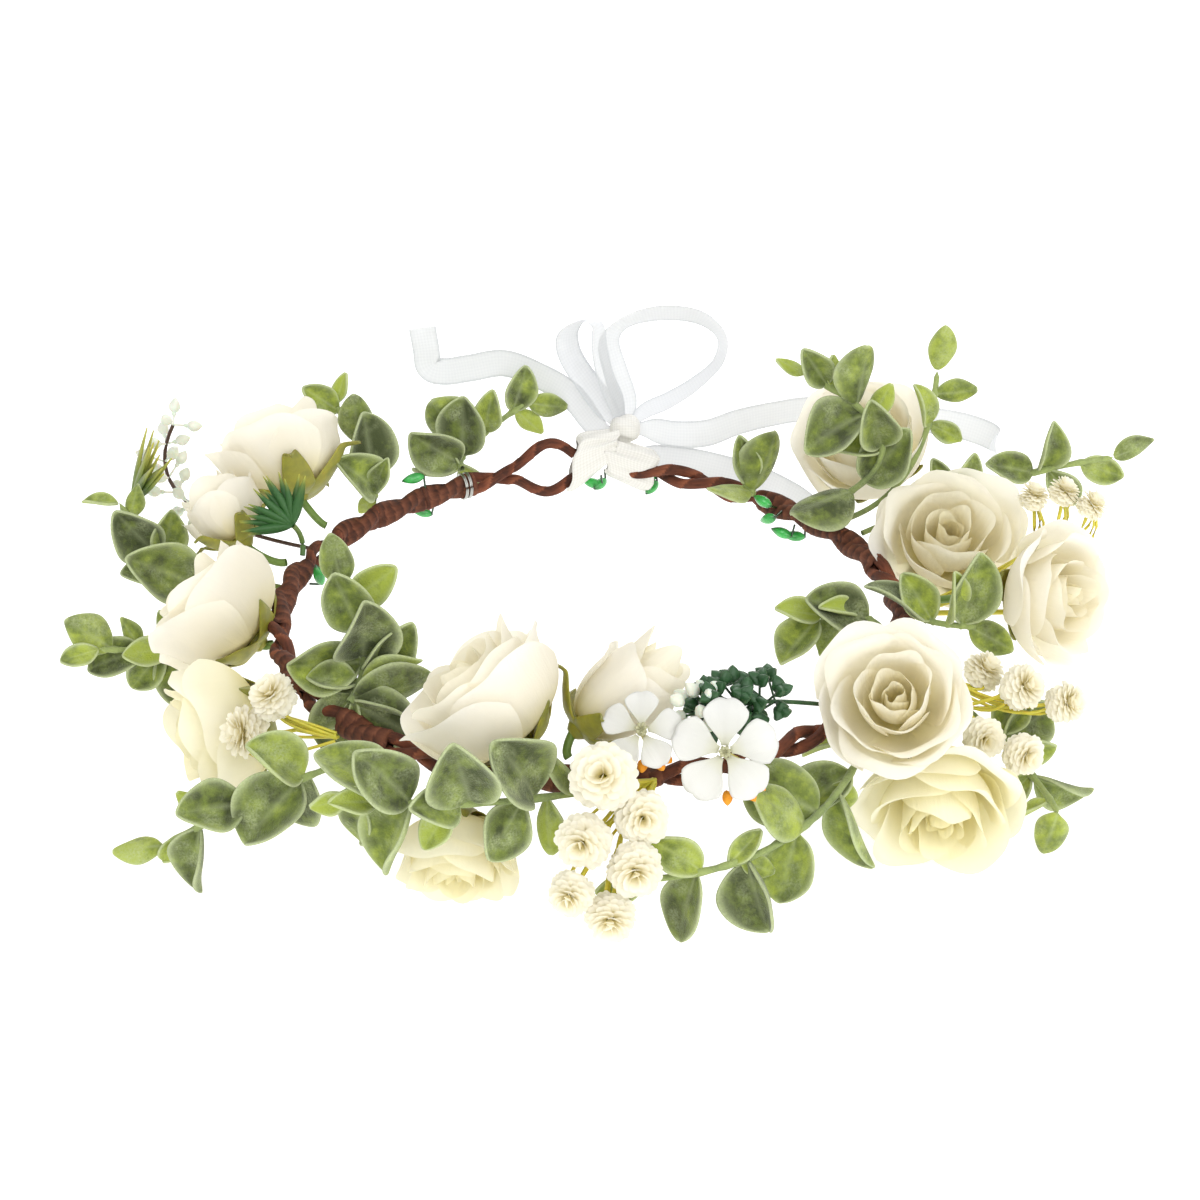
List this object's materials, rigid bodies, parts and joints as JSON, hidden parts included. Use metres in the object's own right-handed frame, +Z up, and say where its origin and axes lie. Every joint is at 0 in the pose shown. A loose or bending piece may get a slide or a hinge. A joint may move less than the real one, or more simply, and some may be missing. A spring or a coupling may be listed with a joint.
{
  "type": "flower crown",
  "caption": "Artificial flower crown: twisted vine ring open at the back, ivory roses, flocked eucalyptus, gypsophila and a white ribbon bow",
  "frame": {"origin": "centre of the head opening, level with the ring's centre line at the front", "axes": "+Z up through the head opening, -Y to the front of the crown, +Y to the ribbon bow, +X to the wearer's left as seen from the front"},
  "size_m": [0.3229, 0.2461, 0.1004],
  "materials": {
    "vine": "twisted paper wrap",
    "wire": "plain drawn wire",
    "tape": "waxed florist tape",
    "petal": "smooth satin cloth",
    "calyx": "moulded olive",
    "leaf": "flocked",
    "gypsophila": "fine petals",
    "blossom": "smooth cloth",
    "sprig": "moulded dark green",
    "palm": "moulded green",
    "pip": "glossy bright green",
    "ribbon": "sheer white"
  },
  "bodies": {
    "crown": {"vine_strand_outer": "vine", "vine_strand_inner": "vine", "core_wires": "wire", "binding_tape": "tape", "tie_wires": "wire", "rose_1_petals": "petal", "rose_2_petals": "petal", "rose_3_petals": "petal", "rose_4_petals": "petal", "rose_5_petals": "petal", "rose_6_petals": "petal", "rose_7_petals": "petal", "rose_8_petals": "petal", "rose_9_petals": "petal", "rose_10_petals": "petal", "rose_11_petals": "petal", "rose_12_petals": "petal", "rose_1_calyx": "calyx", "rose_2_calyx": "calyx", "rose_3_calyx": "calyx", "rose_4_calyx": "calyx", "rose_5_calyx": "calyx", "rose_6_calyx": "calyx", "rose_7_calyx": "calyx", "rose_8_calyx": "calyx", "rose_9_calyx": "calyx", "rose_10_calyx": "calyx", "rose_11_calyx": "calyx", "rose_12_calyx": "calyx", "eucalyptus_2": "leaf", "eucalyptus_5": "leaf", "eucalyptus_7": "leaf", "eucalyptus_8": "leaf", "eucalyptus_11": "leaf", "eucalyptus_13": "leaf", "eucalyptus_14": "leaf", "eucalyptus_15": "leaf", "gypsophila_1": "gypsophila", "gypsophila_2": "gypsophila", "gypsophila_3": "gypsophila", "gypsophila_4": "gypsophila", "blossom_1": "blossom", "blossom_2": "blossom", "bud_sprig_1": "sprig", "bud_sprig_2": "sprig", "palm_fan_1": "palm", "palm_fan_2": "palm", "pips": "pip", "ribbon_knot": "ribbon", "ribbon_bow": "ribbon"},
    "sprig_3": {"eucalyptus_3": "leaf"},
    "sprig_4": {"eucalyptus_4": "leaf"},
    "sprig_6": {"eucalyptus_6": "leaf"},
    "sprig_1": {"eucalyptus_1": "leaf"},
    "sprig_9": {"eucalyptus_9": "leaf"},
    "sprig_10": {"eucalyptus_10": "leaf"},
    "sprig_12": {"eucalyptus_12": "leaf"},
    "tail_left": {"ribbon_tail_left": "ribbon"},
    "tail_right": {"ribbon_tail_right": "ribbon"},
    "tail_under": {"ribbon_tail_under": "ribbon"}
  },
  "joints": [
    {"name": "sprig_3_bend", "type": "hinge", "parent": "crown", "child": "sprig_3", "pos_m": [-0.0657, 0.0613, 0.0076], "axis": [-0.6822, -0.7312, 0], "range_deg": [-12, 1]},
    {"name": "sprig_4_bend", "type": "hinge", "parent": "crown", "child": "sprig_4", "pos_m": [-0.0398, 0.0815, 0.0076], "axis": [-0.899, -0.438, 0], "range_deg": [-12, 0.5]},
    {"name": "sprig_6_bend", "type": "hinge", "parent": "crown", "child": "sprig_6", "pos_m": [-0.0573, -0.0733, -0.0015], "axis": [0, 0, 1], "range_deg": [-10, 10]},
    {"name": "sprig_1_bend", "type": "hinge", "parent": "crown", "child": "sprig_1", "pos_m": [-0.0919, 0.0064, -0.0019], "axis": [0, 1, 0], "range_deg": [-10, 3]},
    {"name": "sprig_9_bend", "type": "hinge", "parent": "crown", "child": "sprig_9", "pos_m": [0.089, -0.0238, -0.0024], "axis": [0, 1, 0], "range_deg": [-10, 10]},
    {"name": "sprig_10_bend", "type": "hinge", "parent": "crown", "child": "sprig_10", "pos_m": [0.0814, 0.0451, 0.0041], "axis": [0, 0, 1], "range_deg": [-1, 8]},
    {"name": "sprig_12_bend", "type": "hinge", "parent": "crown", "child": "sprig_12", "pos_m": [0.0767, 0.0498, 0.0065], "axis": [0.8386, -0.5447, 0], "range_deg": [-2, 10]},
    {"name": "tail_left_swing", "type": "hinge", "parent": "crown", "child": "tail_left", "pos_m": [0.003, 0.095, 0.017], "axis": [0, 0, 1], "range_deg": [-15, 0.5]},
    {"name": "tail_right_swing", "type": "hinge", "parent": "crown", "child": "tail_right", "pos_m": [0.019, 0.095, 0.016], "axis": [0, 0, 1], "range_deg": [-10, 15]},
    {"name": "tail_under_swing", "type": "hinge", "parent": "crown", "child": "tail_under", "pos_m": [0.0185, 0.0965, 0.006], "axis": [0, 0, 1], "range_deg": [-5, 15]}
  ]
}
